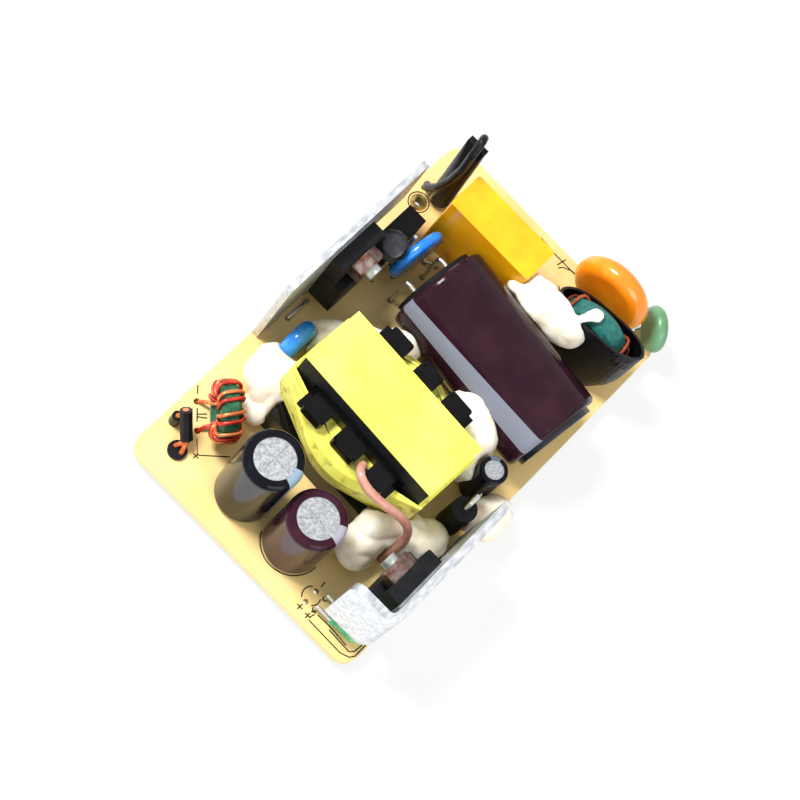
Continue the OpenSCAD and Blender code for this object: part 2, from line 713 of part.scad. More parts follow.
// Closed shell between two stacks of rings, each ring anticlockwise seen from above
module shell_between(outer, inner) {
  m = len(outer);
  n = len(outer[0]);
  s = m*n;
  e = s - n;
  walls = [for (i = [0:m - 2], k = [0:n - 1]) let (a = i*n + k, b = i*n + (k + 1)%n)
    each [[a, b + n, b], [a, a + n, b + n], [s + a, s + b, s + b + n], [s + a, s + b + n, s + a + n]]];
  ends = [for (k = [0:n - 1]) let (j = (k + 1)%n)
    each [[k, j, s + j], [k, s + j, s + k], [e + k, e + s + j, e + j], [e + k, e + s + k, e + s + j]]];
  polyhedron([for (stack = [outer, inner], r = stack) each r], concat(walls, ends), convexity = 10);
}

// Tape round the winding and the core's outer limbs: corner of the taped core in plan, and the
// angle at which a tangent from it meets the winding
band_corner = [core_w/2 + tape_t + 0.05, core_d/2 + 0.1];
function touch_angle(p, r) = atan2(p.y, p.x) + acos(r/norm(p));
function band_ring(r, grow, z) =
  let (c = band_corner + [grow, grow/2], a = touch_angle(c, r), n = 12,
    arc = [for (i = [0:n]) let (b = a + (180 - 2*a)*i/n) [r*cos(b), r*sin(b)]])
  concat([for (p = concat([c], arc, [[-c.x, c.y]])) [p.x, p.y, z]],
    [for (p = concat([c], arc, [[-c.x, c.y]])) [-p.x, -p.y, z]]);
function band_rings(grow) =
  [for (w = swell) band_ring(winding_r + w[1] + grow, grow, band_low + w[0]*band_h)];

module transformer_band() {
  color("#E6E04F") at_transformer() {
    shell_between(band_rings(0.5), band_rings(0));
    translate([0, 0, band_top - lid_t]) linear_extrude(lid_t) difference() {
      intersection() {
        circle(winding_r + swell[5][1] - 0.1);
        square([2*flange_x, 40], center = true);
      }
      square([2*tube_x + 0.1, 2*tube_y + 0.1], center = true);
    }
  }
}

module transformer_pins() {
  color("#C8CBCF") for (p = transformer_pin_spots) straight_lead(p, stout_r, 3);
}

// Insulated lead from the near side of the winding down to the output side of the board
lead_sleeve_r = 0.8;
lead_route = [[3.5, -21.1, 16.5], [3.5, -21.8, 17.7], [3.5, -23.2, 18.6], [4.5, -24.3, 19],
  [6, -24.7, 18.7], [7.9, -24.6, 18.1], [10.4, -24, 17], [12.8, -22.9, 15.8],
  [14.6, -22.2, 14.2], [16, -21.8, 12.2], [16.8, -22.2, 10], [17, -23, 7.5],
  [lead_foot.x, -23.6, 4.5], [lead_foot.x, lead_foot.y, 2], [lead_foot.x, lead_foot.y, 0]];
lead_path = concat([for (p = lead_route) above(p, p.z)], [below(lead_foot)]);
lead_refs = [for (p = lead_path) [0.55, 0.8, 0.2]];

module flying_lead_wire() {
  color("#E2805F") sweep(lead_path, lead_refs, stout_r, 8);
}
module flying_lead_sleeve() {
  last = len(lead_path) - 2;
  color("#F3C9BD", 0.6) tube_sweep([for (i = [1:last]) lead_path[i]], lead_refs, lead_sleeve_r,
    stout_r + 0.05, 8);
}

// ---------------------------------------------------------------- electrolytic capacitors

bulk_mid = bulk_gap + bulk_d/2;      // height of the bulk capacitor's axis above the board
boss_t = 0.8;                        // how far its bung stands out

// The bulk capacitor lies down, its bung towards -X
module at_bulk() {
  translate(above(bulk_at, bulk_mid)) rotate([0, 0, bulk_turn]) translate([-bulk_l/2, 0, 0])
    rotate([0, 90, 0]) children();
}

module bulk_capacitor_can() {
  color("#B9BBBE") at_bulk() can_body(bulk_d, bulk_l, wide_lip, bung_t);
}
module bulk_capacitor_sleeve() {
  color("#331D24") at_bulk() sleeve_shell(bulk_d, bulk_l, wide_lip);
}
module bulk_capacitor_bung() {
  color("#26262A") at_bulk() difference() {
    union() {
      bung_body(bulk_d, wide_lip, bung_t);
      translate([0, 0, -boss_t]) cylinder(h = boss_t, r = bulk_d/2 - sleeve_t - wide_lip - 0.2);
    }
    for (s = [-1, 1]) translate([0, s*bulk_lead_pitch/2, -boss_t - 1]) cylinder(h = 2, r = stout_r);
  }
}
module bulk_capacitor_disc() {
  color("#1B1A1E") at_bulk() translate([0, 0, bulk_l - sleeve_t])
    cylinder(h = 0.9 + sleeve_t, r = bulk_d/2 - sleeve_t - wide_lip - 0.2);
}

vent_r = output_d/2 - sleeve_t - wide_lip - 0.25;

module output_capacitor_can() {
  color("#C4C6C8") translate(above(output_at, 0)) difference() {
    can_body(output_d, output_h, wide_lip, bung_t);
    vent_score(vent_r, output_h - sleeve_t, [0, 90, 180, 270]);
  }
}
module output_capacitor_sleeve() {
  color("#171923") translate(above(output_at, 0)) sleeve_shell(output_d, output_h, wide_lip);
}
module output_capacitor_bung() color("#2A2A2D") standing_bung(output_at, output_d, wide_lip, output_pins);

module filter_capacitor_can() {
  color("#C4C6C8") translate(above(filter_at, 0)) difference() {
    can_body(output_d, filter_h, wide_lip, bung_t);
    vent_score(vent_r, filter_h - sleeve_t, [105, 225, 345]);
  }
}
module filter_capacitor_sleeve() {
  color("#48262F") translate(above(filter_at, 0)) sleeve_shell(output_d, filter_h, wide_lip);
}
module filter_capacitor_bung() color("#2A2A2D") standing_bung(filter_at, output_d, wide_lip, filter_pins);

module supply_capacitor_can() {
  color("#8E9196") translate(above(supply_at, 0)) can_body(supply_d, supply_h, small_lip, bung_t);
}
module supply_capacitor_sleeve() {
  color("#1B1C22") translate(above(supply_at, 0)) sleeve_shell(supply_d, supply_h, small_lip);
}
module supply_capacitor_bung() color("#2A2A2D") standing_bung(supply_at, supply_d, small_lip, supply_pins);

module capacitor_leads() {
  color("#C8CBCF") {
    for (p = concat(output_pins, filter_pins, supply_pins)) straight_lead(p, thin_r, bung_t - 0.5);
    for (i = [0, 1]) {
      root = placed(bulk_at, bulk_turn, [-bulk_l/2 + 0.2, (2*i - 1)*bulk_lead_pitch/2]);
      soft_wire([above(root, bulk_mid), above(bulk_pins[i], bulk_mid), below(bulk_pins[i])], 0.9,
        [sin(bulk_turn), -cos(bulk_turn), 0], stout_r);
    }
  }
}

// ---------------------------------------------------------------- discs and film parts

film_lift = 0.3;                     // feet under the film capacitor

module film_capacitor() {
  edge = 0.5;
  color("#F5DE2A") difference() {
    translate([film_at.x - film_l/2, film_at.y - film_w/2, top]) union() {
      translate([0, 0, film_lift]) linear_extrude(film_h) {
        translate([edge, 0]) square([film_l - 2*edge, film_w]);
        translate([0, edge]) square([film_l, film_w - 2*edge]);
        for (x = [edge, film_l - edge], y = [edge, film_w - edge]) translate([x, y]) circle(edge);
      }
      for (x = [0.6, film_l - 2.1], y = [0.4, film_w - 1.9]) translate([x, y, 0]) cube([1.5, 1.5, 1]);
    }
    for (p = film_pins) translate(above(p, 0)) cylinder(h = film_lift + 0.7, r = thin_r);
  }
}

varistor_t = 4.2;
varistor_lift = 0.8;
disc_t = 2;
disc_lift = 1.6;
bypass_d = 7.6;
bypass_t = 3;
bypass_lift = 1.4;
safety_d = 8.2;
safety_t = 2.6;
safety_mid = 4.9;
safety_legs = [for (s = [-1, 1]) placed(safety_at, -45, [s*1.9, 0])];
thermistor_d = 5.4;
thermistor_t = 2.4;
thermistor_mid = 11.6;

module varistor() {
  color("#EE8F16") translate(above(varistor_at, 0))
    legged_disc(varistor_d, varistor_t, varistor_lift, 7.5, stout_r);
}
module disc_capacitor() {
  color("#2188E2") translate(above(disc_at, 0)) rotate([0, 0, 83])
    legged_disc(disc_d, disc_t, disc_lift, 5, thin_r);
}
module bypass_capacitor() {
  color("#2F86C6") translate(above(bypass_at, 0)) rotate([0, 0, 90])
    legged_disc(bypass_d, bypass_t, bypass_lift, 5, thin_r);
}
module safety_capacitor() {
  color("#6A9A72") difference() {
    union() {
      translate(above(safety_at, safety_mid)) rotate([0, 0, -45]) coated_disc(safety_d, safety_t);
      for (i = [0, 1]) bar(above(safety_legs[i], 1.2), above(safety_legs[i], 2.4), thin_r + 0.4);
    }
    for (p = safety_legs) translate(above(p, 0.5)) cylinder(h = 1.4, r = thin_r + 0.01);
  }
}
thermistor_tilt = [25, 0, 0];
module thermistor() {
  color("#2B2C30") difference() {
    translate(above(thermistor_at, thermistor_mid)) rotate(thermistor_tilt)
      rotate([90, 0, 0]) coated_disc(thermistor_d, thermistor_t);
    for (i = [0, 1]) translate(above(thermistor_pins[i], 0)) cylinder(h = thermistor_root[i] - top, r = thin_r);
  }
}
// Tops of the thermistor's two leads, inside its tilted body
thermistor_root = [top + thermistor_mid - 0.4, top + thermistor_mid + 1.7];

module radial_leads() {
  color("#C8CBCF") {
    for (p = film_pins) straight_lead(p, thin_r, film_lift + 0.7);
    for (p = varistor_pins) straight_lead(p, stout_r, varistor_lift + varistor_d/4);
    for (p = disc_pins) straight_lead(p, thin_r, disc_lift + disc_d/4);
    for (p = bypass_pins) straight_lead(p, thin_r, bypass_lift + bypass_d/4);
    for (i = [0, 1]) {
      soft_wire([below(safety_pins[i]), above(safety_pins[i], 0.6), above(safety_legs[i], 0.7),
        above(safety_legs[i], 1.9)], 0.25, [1, 0.3, 0], thin_r);
      straight_lead(thermistor_pins[i], thin_r, thermistor_root[i] - top);
    }
  }
}

module bridge_rectifier() {
  color("#202124") difference() {
    translate([bridge_at.x - bridge_w/2, bridge_at.y - bridge_l/2, top + 1]) difference() {
      cube([bridge_w, bridge_l, bridge_h]);
      translate([-1, bridge_l, bridge_h]) rotate([45, 0, 0]) cube([bridge_w + 2, 3, 3], center = false);
    }
    for (p = bridge_pins) translate(above(p, 0)) cylinder(h = 1.8, r = stout_r);
  }
}

module snubber_diode() {
  color("#1A1A1C") translate(above(diode_at, 0.6)) difference() {
    cylinder(h = 8.8, r = 2.2);
    translate([0, 0, -1]) cylinder(h = 1.2, r = stout_r);
    translate([0, 0, 8.5]) cylinder(h = 1, r = stout_r);
  }
}

// ---------------------------------------------------------------- wound cores

// Toroid core with its axis along Y and chamfered edges
module standing_core(core) {
  c = 0.7;
  half = core[2]/2;
  rotate([90, 0, 0]) rotate_extrude() polygon([
    [core[0] + c, -half], [core[1] - c, -half], [core[1], c - half], [core[1], half - c],
    [core[1] - c, half], [core[0] + c, half], [core[0], half - c], [core[0], c - half]]);
}

// Wire wound round a core between two angles, with points for its two leads
module wound_wire(core, gap, angles, turns, phase, count, before, after, r) {
  spread = angles[1] - angles[0];
  coil = [for (j = [0:count - 1]) wound(angles[0] + spread*j/(8*turns), j + phase, core, gap)];
  turn_refs = [for (j = [0:count - 1]) let (a = angles[0] + spread*j/(8*turns)) [-sin(a), 0, cos(a)]];
  path = concat(before, coil, after);
  refs = concat([for (p = before) turn_refs[0]], turn_refs, [for (p = after) turn_refs[count - 1]]);
  sweep(path, refs, r, 6);
}

module common_mode_core() {
  color("#1E7A70") translate(above(cm_at, cm_mid)) standing_core(cm_core);
}

module common_mode_windings() {
  foot = -cm_mid - top - tail;       // lead ends, measured from the core's axis
  bore = cm_core[0] - cm_gap - 1.1;
  a = cm_angles[1];
  color("#B5442C") translate(above(cm_at, cm_mid)) for (s = [0, 1]) mirror([s, 0, 0])
    wound_wire(cm_core, cm_gap, cm_angles, cm_turns, 0, 8*cm_turns - 3,
      [[cm_start.x, cm_start.y, foot], [cm_start.x, cm_start.y, cm_start.z - 0.6]],
      [[bore*cos(a), 1, bore*sin(a)], [cm_return.x, 0.8, 0], [cm_return.x, 1.6, -2.4],
        [cm_return.x, cm_return.y, -4.2], [cm_return.x, cm_return.y, foot]], cm_wire_d/2);
}

// Shrunk sleeve over the common mode choke, open at both ends: drawn in at its foot, full round
// the core, closing to a lens at its rim, which is cut on the slant
sleeve_w = cm_core_d + 4.2;
sleeve_d = cm_core[2] + 2*cm_wire_d + 2;
sleeve_wall = 0.5;
sleeve_low = 0.6;
sleeve_high = cm_mid + cm_core_d/2 + 0.9;
rim_mid = sleeve_high - 1.55;        // height of the rim over the core's axis
rim_fall = 0.5;                      // how steeply the rim falls towards +Y
rim_rise = 0.17;                     // and rises towards +X
sleeve_steps = [0, 0.12, 0.25, 0.4, 0.6, 0.8, 0.92, 1];
sleeve_sides = 44;
function sleeve_ring(f, wall) = [for (k = [0:sleeve_sides - 1])
  let (a = 360*k/sleeve_sides,
    full = min(1, 0.62 + 1.2*f),
    close = max(0, (f - 0.8)/0.2),
    w = (sleeve_w/2 - 2.1*(1 - full)/0.38) - wall,
    x = w*cos(a),
    power = 10 - 6.4*close,
    y = (sleeve_d/2 - wall)*sign(sin(a))*pow(max(0, 1 - pow(abs(cos(a)), power)), 0.5 + 0.15*close),
    rim = rim_mid - rim_fall*y + rim_rise*x)
  [x, y, sleeve_low + f*(rim - sleeve_low)]];
module common_mode_sleeve() {
  color("#26262C") translate(above(cm_at, 0)) shell_between(
    [for (f = sleeve_steps) sleeve_ring(f, 0)], [for (f = sleeve_steps) sleeve_ring(f, sleeve_wall)]);
}

module at_choke() {
  translate(above(choke_at, choke_mid)) rotate([0, 0, choke_turn]) children();
}
module output_choke_core() color("#1E5C44") at_choke() standing_core(choke_core);

module output_choke_red_wire() {
  foot = -choke_mid - top - tail;
  color("#C3241E") at_choke() wound_wire(choke_core, choke_gap, choke_angles, choke_turns, 0,
    8*choke_turns + 2,
    [[choke_feet[0].x, choke_feet[0].y, foot], [choke_feet[0].x, choke_feet[0].y, 0.6 - choke_mid]],
    [[choke_feet[2].x, choke_feet[2].y, 2.7 - choke_mid], [choke_feet[2].x, choke_feet[2].y, foot]],
    choke_wire_d/2);
}
module output_choke_copper_wire() {
  foot = -choke_mid - top - tail;
  shift = (choke_angles[1] - choke_angles[0])/choke_turns/2;
  color("#DB7A48") at_choke() wound_wire(choke_core, choke_gap, choke_angles + [shift, shift],
    choke_turns, 1, 8*choke_turns,
    [[choke_feet[1].x, choke_feet[1].y, foot], [choke_feet[1].x, choke_feet[1].y, 0.6 - choke_mid]],
    [[choke_feet[3].x, choke_feet[3].y, 0.9 - choke_mid], [choke_feet[3].x, choke_feet[3].y, foot]],
    choke_wire_d/2);
}

// ---------------------------------------------------------------- fuse, lamp, stubs, jumpers

fuse_foot = above(fuse_at, 1);
fuse_head = above(fuse_at + [-0.9, 1.6], 1 + fuse_h);
lead_over = [fuse_head + [0, 0.2, 0.7], fuse_head + [-0.1, 0.8, 2], fuse_head + [0.2, -0.6, 2.8],
  fuse_head + [0.6, -2.8, 1], above([-20, 28.7], 17), above([-20.3, 28.4], 12),
  above([-21.2, 28.1], 7.5), above([-22.6, 28.9], 3.4), above(fuse_pins[1], 1.6)];
fuse_sleeve_r = 0.75;

module fuse() {
  neck = fuse_foot + 0.55*(fuse_head - fuse_foot);
  color("#222226") difference() {
    union() {
      bar(fuse_foot, neck, fuse_d/2);
      hull() {
        bar(neck, neck + [0, 0, 0.4], fuse_d/2, $fn = 32);
        translate(fuse_head - [fuse_d/2 - 0.1, 0.6, 0.5]) cube([fuse_d - 0.2, 1.2, 0.5]);
      }
    }
    bar(below(fuse_at), fuse_foot + [0, 0, 0.6], stout_r);
    bar(fuse_head - [0, 0, 0.5], lead_over[0], stout_r);
  }
}
// The fuse's two leads: one straight down, the other looped over and down outside
fuse_wire = concat([fuse_head - [0, 0, 0.5]], lead_over, [below(fuse_pins[1])]);
module fuse_leads() {
  color("#C8CBCF") {
    bar(below(fuse_at), fuse_foot + [0, 0, 0.6], stout_r);
    soft_wire(fuse_wire, 0.3, [1, 0, 0], stout_r);
  }
}
module fuse_lead_sleeve() {
  path = softened(lead_over, 0.3);
  color("#26262B") tube_sweep(path, [for (p = path) [1, 0, 0]], fuse_sleeve_r, stout_r + 0.1, 8);
}

led_mid = 2;
module indicator_lamp() {
  r = led_d/2;
  color("#3FCB86", 0.75) translate(above(led_at, led_mid)) rotate([0, 90, 0]) difference() {
    union() {
      cylinder(h = 1, r = r + 0.4);
      cylinder(h = 4.2, r = r);
      translate([0, 0, 4.2]) sphere(r);
    }
    translate([-r - 0.3, -5, -1]) mirror([1, 0, 0]) cube([5, 10, 3]);
    for (s = [-1, 1]) translate([0, s*1.27, -1]) cylinder(h = 1.6, r = thin_r);
  }
}
module indicator_lamp_leads() {
  color("#C8CBCF") for (p = led_pins)
    bent_wire([above([led_at.x + 0.6, p.y], led_mid), above(p, led_mid), below(p)], thin_r);
}

// Stubs of the cut output cable: a short one at the ground hole, a leaning one at the other
ground_top = 3.2;
stub_wire = [above([-18.9, -34.5], 1.9), above([-20.2, -33.7], 3.2), above([-22.6, -32.3], 6.1)];
stub_r = 1.1;
core_r = 0.55;
stub_ref = [0.5, 0.85, 0];
module stub_conductors(grow) {
  straight_lead(ground_at, stout_r + grow, ground_top);
  soft_wire(stub_wire, 0.3, stub_ref, core_r + grow);
  for (p = twin_spots) soft_wire([below(p), above(p, 0.8), stub_wire[0]], 0.2, stub_ref, stout_r + grow);
}
module output_stubs() {
  color("#C66A4A") stub_conductors(0);
}
module output_stub_sleeves() {
  color("#1C1D20") difference() {
    union() {
      translate(above(ground_at, 0)) cylinder(h = ground_top - 0.4, r = 0.95);
      soft_wire([stub_wire[0] + [-0.3, 0.2, 0.3], stub_wire[1], stub_wire[2] + [0.1, 0, -0.1]], 0.3,
        stub_ref, stub_r);
      translate(above(positive_at, 0)) cylinder(h = 0.6, r = 1.65);
    }
    stub_conductors(0.01);
  }
}

module jumper_wires() {
  color("#C8CBCF") for (j = jumpers)
    bent_wire([below(j[0]), above(j[0], 0.7), above(j[1], 0.7), below(j[1])], thin_r);
}

// ---------------------------------------------------------------- silicone

// Each bead is a chain of balls [x, y, height, radius]
beads = [
  [[-19, -14.5, 3, 3.5], [-17, -17, 4, 4.6], [-14.8, -15.8, 5.5, 4]],
  [[-17, -17, 4, 4.2], [-14.5, -22, 2, 2.4]],
  [[-16.5, -5, 2.5, 3.5], [-12, -1.5, 3, 3.8], [-8, 0.8, 4, 3]],
  [[-8, 0.8, 4, 3], [-6, 3, 6.5, 3.4]],
  [[9, 2, 10, 3.6], [13, 0, 9, 4], [15, -3, 6, 3.6]],
  [[15, -3, 6, 3.6], [14.6, -3.4, 1.5, 2.6]],
  [[2, 24, 12, 4], [6, 23.5, 13, 4.4], [11, 24.5, 12, 4]],
  [[11, 24.5, 12, 4], [13, 28, 13.5, 3]],
  [[12.3, -26.3, 2.5, 4], [12, -21.5, 6.5, 3.5]],
  [[12, -21.5, 6.5, 3.5], [17, -19.5, 4.5, 4.2], [20, -16.8, 3, 3.6]],
  [[22, -8.5, 2.5, 2.8], [24.5, -4.5, 3.5, 3.2], [25.2, -8.5, 4, 2.6]]
];
gap = 0.05;                          // between a bead and what it clings to

// Everything the beads cling to, a little fat
module neighbours() {
  translate([-60, -60, -20]) cube([120, 120, 20 + top]);
  at_transformer() {
    translate([-core_w/2 - tape_t - gap, -core_d/2 - gap, -5])
      cube([core_w + 2*tape_t + 2*gap, core_d + 2*gap, 5 + core_lift + core_h + tape_t + gap]);
    translate([-foot_l/2 - gap, -rail_reach - gap, -5])
      cube([foot_l + 2*gap, 2*rail_reach + 2*gap, 5 + window_low + flange_t + gap]);
    translate([-flange_x - gap, -rail_reach - gap, rail_low - gap])
      cube([2*flange_x + 2*gap, 2*rail_reach + 2*gap, rail_top - rail_low + 2*gap]);
    translate([0, 0, band_low - gap]) linear_extrude(band_h + 2*gap)
      polygon([for (p = band_ring(winding_r + 0.65 + gap, 0.5 + gap, 0)) [p.x, p.y]]);
  }
  at_bulk() {
    translate([0, 0, -gap]) cylinder(h = bulk_l + 2*gap, r = bulk_d/2 + gap, $fn = 64);
    translate([0, 0, -5]) cylinder(h = bulk_l + 6.5, r = bulk_d/2 - 0.5 + gap);
  }
  translate([primary_x - gap, primary_near - gap, -5])
    cube([primary_t + 2*gap, primary_l + 2*gap, 5 + top + sink_h + gap]);
  translate([secondary_x - secondary_t - gap, secondary_near, -5])
    cube([secondary_t + gap + 5, secondary_l + gap, 5 + top + sink_h + gap]);
  at_transistor() translate([0, -package_w/2 - 0.8 - gap, -5])
    cube([pad_t + package_t + gap, package_w + 1.6 + 2*gap, 5 + package_lift + package_h + 1]);
  at_rectifier() translate([0, -package_w/2 - 0.8 - gap, -5])
    cube([pad_t + package_t + gap, package_w + 1.6 + 2*gap, 5 + package_lift + package_h + 1]);
  translate([film_at.x - film_l/2 - gap, film_at.y - film_w/2 - gap, 0])
    cube([film_l + 2*gap, film_w + 2*gap, top + film_lift + film_h + gap]);
  translate([supply_at.x, supply_at.y, 0]) cylinder(h = top + supply_h + gap, r = supply_d/2 + gap);
  translate([output_at.x, output_at.y, 0]) cylinder(h = top + output_h + gap, r = output_d/2 + gap);
  translate([filter_at.x, filter_at.y, 0]) cylinder(h = top + filter_h + gap, r = output_d/2 + gap);
  translate([diode_at.x, diode_at.y, 0]) cylinder(h = top + 12, r = 2.2 + gap);
  for (p = [diode_pins[1], jumpers[1][1], jumpers[1][0]]) translate([p.x, p.y, 0])
    cylinder(h = top + 12, r = stout_r + gap);
  for (p = concat(rectifier_pins, transistor_pins)) translate([p.x, p.y, 0])
    cylinder(h = top + 5, r = thin_r + gap);
  translate(above(bypass_at, 0)) rotate([0, 0, 90]) {
    translate([0, 0, bypass_lift + bypass_d/2]) coated_disc(bypass_d + 2*gap, bypass_t + 2*gap);
    for (s = [-1, 1]) translate([s*2.5, 0, -2]) cylinder(h = bypass_lift + 5, r = thin_r + 0.6 + gap);
  }
  translate([cm_at.x - sleeve_w/2 - gap, cm_at.y - sleeve_d/2 - gap, 0])
    cube([sleeve_w + 2*gap, sleeve_d + 2*gap, top + sleeve_high + gap]);
  bent_wire(lead_path, lead_sleeve_r + gap, $fn = 12);
}

module silicone_beads() {
  color("#F6F1DE") difference() {
    for (b = beads) for (i = [1:len(b) - 1]) hull() {
      translate(above(b[i - 1], b[i - 1][2])) sphere(b[i - 1][3], $fn = 16);
      translate(above(b[i], b[i][2])) sphere(b[i][3], $fn = 16);
    }
    neighbours($fn = 32);
  }
}

// ---------------------------------------------------------------- nodes

circuit_board();
solder_joints();
primary_heatsink();
secondary_heatsink();
thermal_pads();
power_transistor();
output_rectifier();
semiconductor_leads();
clamp_screws();
clamp_nuts();
transformer_core_upper();
transformer_core_lower();
transformer_bobbin();
transformer_winding();
transformer_band();
transformer_core_tape();
transformer_pins();
flying_lead_wire();
flying_lead_sleeve();
bulk_capacitor_can();
bulk_capacitor_sleeve();
bulk_capacitor_bung();
bulk_capacitor_disc();
output_capacitor_can();
output_capacitor_sleeve();
output_capacitor_bung();
filter_capacitor_can();
filter_capacitor_sleeve();
filter_capacitor_bung();
supply_capacitor_can();
supply_capacitor_sleeve();
supply_capacitor_bung();
capacitor_leads();
film_capacitor();
bypass_capacitor();
disc_capacitor();
safety_capacitor();
thermistor();
varistor();
radial_leads();
bridge_rectifier();
snubber_diode();
common_mode_core();
common_mode_windings();
common_mode_sleeve();
output_choke_core();
output_choke_red_wire();
output_choke_copper_wire();
fuse();
fuse_leads();
fuse_lead_sleeve();
indicator_lamp();
indicator_lamp_leads();
output_stubs();
output_stub_sleeves();
jumper_wires();
mains_eyelet();
silicone_beads();
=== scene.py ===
# %% [markdown]
# # Dressing an open frame power supply
# The CAD model gives every part its place and size. This lesson gives each one the finish of
# the real thing, and swaps the few soft or wound forms for smoother ones made here.

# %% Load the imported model
import math

import bmesh
import bpy
from mathutils import Matrix, Vector, noise


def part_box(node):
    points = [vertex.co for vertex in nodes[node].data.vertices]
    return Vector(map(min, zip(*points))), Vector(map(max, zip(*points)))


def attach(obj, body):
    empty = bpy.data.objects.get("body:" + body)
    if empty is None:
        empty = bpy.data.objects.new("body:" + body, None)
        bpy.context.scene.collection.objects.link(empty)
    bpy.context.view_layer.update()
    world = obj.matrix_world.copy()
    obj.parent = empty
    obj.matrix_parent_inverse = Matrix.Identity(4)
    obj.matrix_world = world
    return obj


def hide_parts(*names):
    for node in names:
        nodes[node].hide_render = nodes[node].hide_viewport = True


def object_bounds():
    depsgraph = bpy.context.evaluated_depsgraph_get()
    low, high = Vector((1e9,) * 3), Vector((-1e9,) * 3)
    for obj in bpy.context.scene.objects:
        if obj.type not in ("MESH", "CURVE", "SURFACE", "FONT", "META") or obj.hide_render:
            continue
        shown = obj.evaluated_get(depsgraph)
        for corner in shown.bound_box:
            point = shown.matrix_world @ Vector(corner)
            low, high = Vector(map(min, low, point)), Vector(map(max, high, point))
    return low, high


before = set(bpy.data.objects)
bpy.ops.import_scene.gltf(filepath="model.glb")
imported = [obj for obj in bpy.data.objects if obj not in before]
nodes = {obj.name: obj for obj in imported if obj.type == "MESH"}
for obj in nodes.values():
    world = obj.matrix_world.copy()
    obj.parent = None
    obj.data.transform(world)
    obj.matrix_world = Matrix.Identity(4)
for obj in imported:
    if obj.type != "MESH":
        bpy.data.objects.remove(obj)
cad_low, cad_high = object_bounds()
MM = 0.001
BOARD_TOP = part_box("circuit_board")[1].z
print("loaded", len(nodes), "nodes")

# %% [markdown]
# ## Camera
# A long lens from well back keeps the board's edges nearly parallel, as a product shot does.
# The camera looks down steeply, and it is rolled so that the board stands on its corner.

# %% Place the camera
AZIMUTH = math.radians(0.538)
ELEVATION = math.radians(64.749)
ROLL = math.radians(45.168)
CAMERA_AT = Vector((1.856, -182.470, 385.901)) * MM
FOCAL_LENGTH = 114.42  # millimetres, on a sensor 36 mm wide


def camera_axes():
    """The camera's right, up and forward directions from its three angles."""
    forward = Vector((
        -math.sin(AZIMUTH) * math.cos(ELEVATION),
        math.cos(AZIMUTH) * math.cos(ELEVATION),
        -math.sin(ELEVATION),
    ))
    level = forward.cross(Vector((0, 0, 1))).normalized()
    upright = level.cross(forward)
    right = math.cos(ROLL) * level + math.sin(ROLL) * upright
    up = math.cos(ROLL) * upright - math.sin(ROLL) * level
    return right, up, forward


right, up, forward = camera_axes()
camera_data = bpy.data.cameras.new("camera")
camera_data.lens = FOCAL_LENGTH
camera_data.sensor_width = 36
camera_data.clip_start = 0.01
camera = bpy.data.objects.new("camera", camera_data)
turn = Matrix((right, up, -forward)).transposed().to_4x4()
camera.matrix_world = Matrix.Translation(CAMERA_AT) @ turn
bpy.context.scene.collection.objects.link(camera)
bpy.context.scene.camera = camera
print("camera", round(CAMERA_AT.length, 3), "m from the origin")

# %% [markdown]
# ## Two small tools for materials
# Paint values are easy to read as web colours, but shaders work in linear light. One function
# turns the one into the other. A second adds a shader node with its settings and its links.


# %% Colour and node helpers
def linear(hex_colour):
    """A web colour such as #FFCC00 as linear red, green, blue and alpha."""
    parts = [int(hex_colour[i : i + 2], 16) / 255 for i in (1, 3, 5)]
    light = [c / 12.92 if c <= 0.04045 else ((c + 0.055) / 1.055) ** 2.4 for c in parts]
    return (*light, 1.0)


def add_node(material, kind, settings=None, links=None):
    """Adds one node. Settings name its inputs or its options, and links feed its inputs."""
    tree = material.node_tree
    made = tree.nodes.new(kind)
    for name, value in (settings or {}).items():
        if isinstance(name, int) or name in made.inputs:
            made.inputs[name].default_value = value
        else:
            setattr(made, name, value)
    for name, socket in (links or {}).items():
        tree.links.new(socket, made.inputs[name])
    return made


def texture_scale(size_mm):
    """The scale that makes a texture's features this large, on coordinates in metres."""
    return 1.0 / (size_mm * MM)


# %% [markdown]
# ## One recipe for plain finishes
# Most parts are a single stuff whose colour and gloss wander a little from place to place. The
# recipe mixes two near colours with a noise, lets a second noise vary the roughness, and raises
# a fine grain as bump. Each caller gives the real size of the patches and of the grain.


# %% The shared recipe
def finish(name, colour, second, patch_mm, rough, rough_far, grain_mm, grain_height_mm, **shader):
    """A material that wanders between two colours and two roughnesses, with a raised grain."""
    made = bpy.data.materials.new(name)
    made.use_nodes = True
    made.node_tree.nodes.clear()
    place = add_node(made, "ShaderNodeTexCoord").outputs["Object"]
    patches = add_node(
        made, "ShaderNodeTexNoise", {"Scale": texture_scale(patch_mm), "Detail": 4.0}, {"Vector": place}
    )
    tint = add_node(made, "ShaderNodeValToRGB", None, {"Fac": patches.outputs["Fac"]})
    tint.color_ramp.elements[0].position = 0.35
    tint.color_ramp.elements[0].color = linear(colour)
    tint.color_ramp.elements[1].position = 0.68
    tint.color_ramp.elements[1].color = linear(second)
    wear = add_node(
        made,
        "ShaderNodeMapRange",
        {"To Min": rough, "To Max": rough_far, "From Min": 0.3, "From Max": 0.7},
        {"Value": patches.outputs["Fac"]},
    )
    grain = add_node(
        made, "ShaderNodeTexNoise", {"Scale": texture_scale(grain_mm), "Detail": 2.0}, {"Vector": place}
    )
    bump = add_node(
        made,
        "ShaderNodeBump",
        {"Distance": grain_height_mm * MM, "Strength": 1.0},
        {"Height": grain.outputs["Fac"]},
    )
    surface = add_node(
        made,
        "ShaderNodeBsdfPrincipled",
        shader,
        {
            "Base Color": tint.outputs["Color"],
            "Roughness": wear.outputs["Result"],
            "Normal": bump.outputs["Normal"],
        },
    )
    add_node(made, "ShaderNodeOutputMaterial", None, {"Surface": surface.outputs["BSDF"]})
    return made


